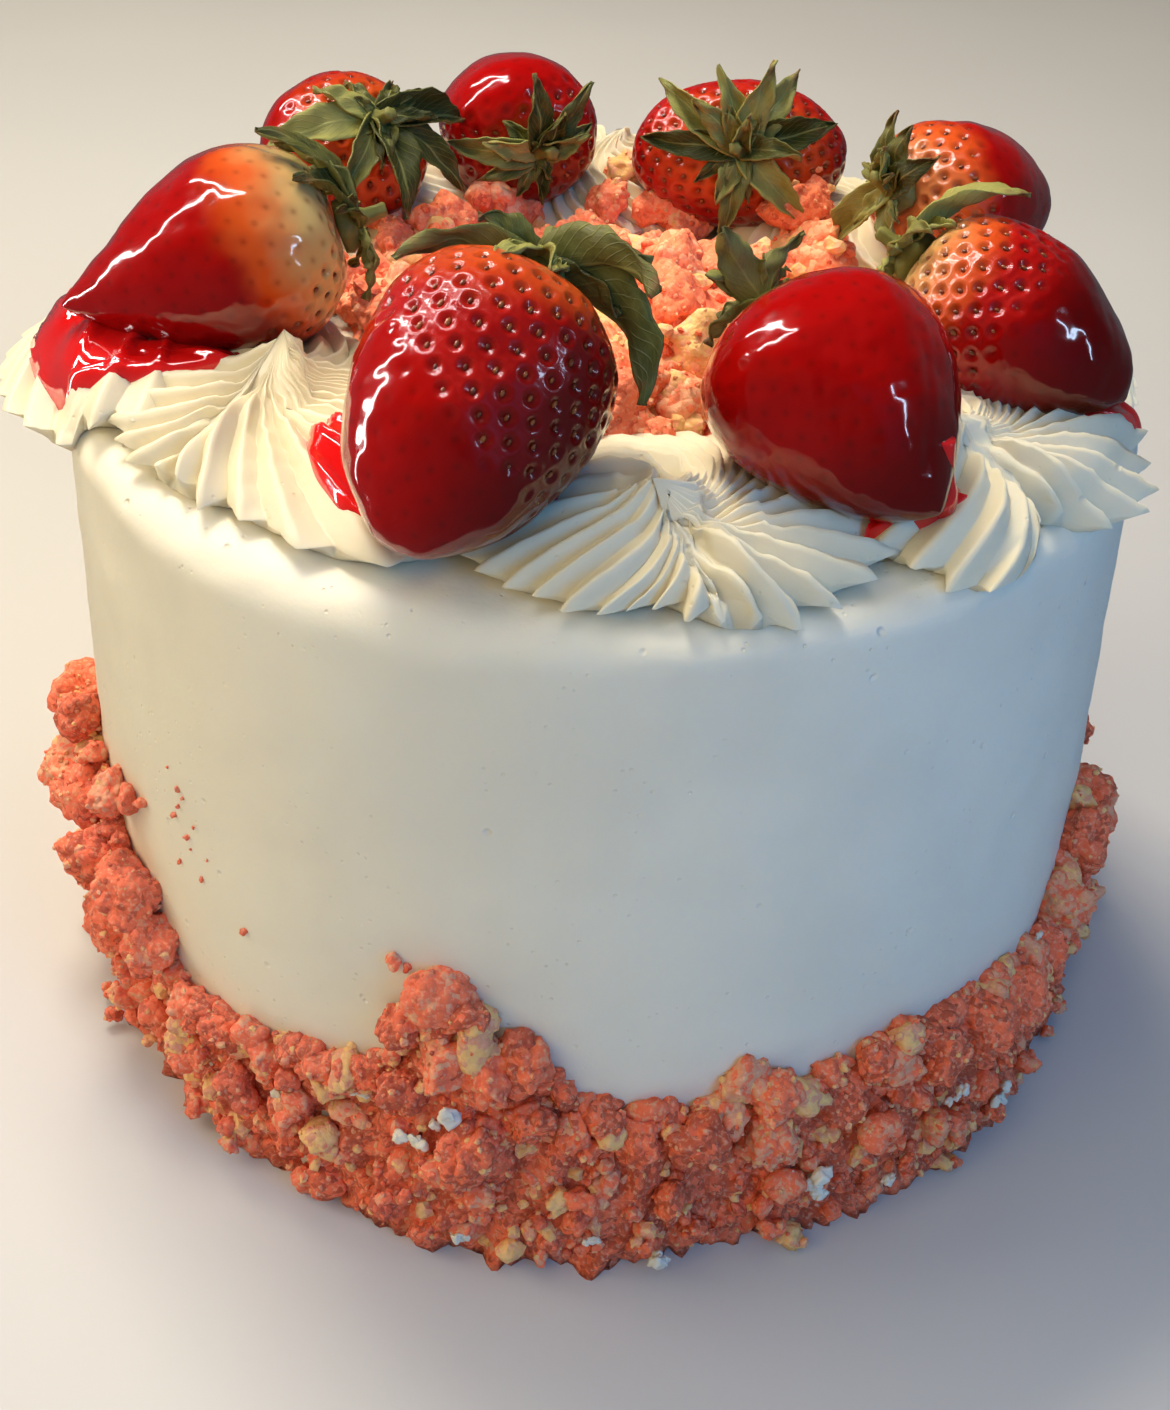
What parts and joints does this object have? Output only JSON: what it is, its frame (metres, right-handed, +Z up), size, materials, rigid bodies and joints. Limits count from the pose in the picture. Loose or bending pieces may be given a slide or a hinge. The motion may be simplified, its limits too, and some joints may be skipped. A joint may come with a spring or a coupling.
{
  "type": "strawberry cheesecake layer cake",
  "caption": "Tall round frosted layer cake with piped swirls and glazed strawberries along its rim, a crumb heap on top and a ragged crumb skirt at its foot.",
  "frame": {"origin": "middle of the flat underside of the frosted round", "axes": "+Z up through the cake, -Y towards the front that the picture shows, +X to its right"},
  "size_m": [0.233, 0.233, 0.177],
  "materials": {
    "frosting": "smooth spread cream frosting, satin, with small pits",
    "piping": "piped cream frosting, satin, finely ridged",
    "strawberry": "ripe strawberry skin under a wet glaze, high gloss",
    "leaf": "thin strawberry leaf, soft sheen, drying at the tips",
    "crumb": "baked crumb, dry and granular, coral with golden pieces"
  },
  "bodies": {
    "root": {"cake_round": "frosting", "crumb_skirt": "crumb", "crumb_heap": "crumb", "swirl_1": "piping", "swirl_2": "piping", "swirl_3": "piping", "swirl_4": "piping", "swirl_5": "piping", "swirl_6": "piping", "swirl_7": "piping", "swirl_8": "piping", "strawberry_1": "strawberry", "strawberry_2": "strawberry", "strawberry_3": "strawberry", "strawberry_4": "strawberry", "strawberry_5": "strawberry", "strawberry_6": "strawberry", "strawberry_7": "strawberry", "strawberry_8": "strawberry", "leaves_1": "leaf", "leaves_2": "leaf", "leaves_3": "leaf", "leaves_4": "leaf", "leaves_5": "leaf", "leaves_6": "leaf", "leaves_7": "leaf", "leaves_8": "leaf"}
  },
  "joints": []
}
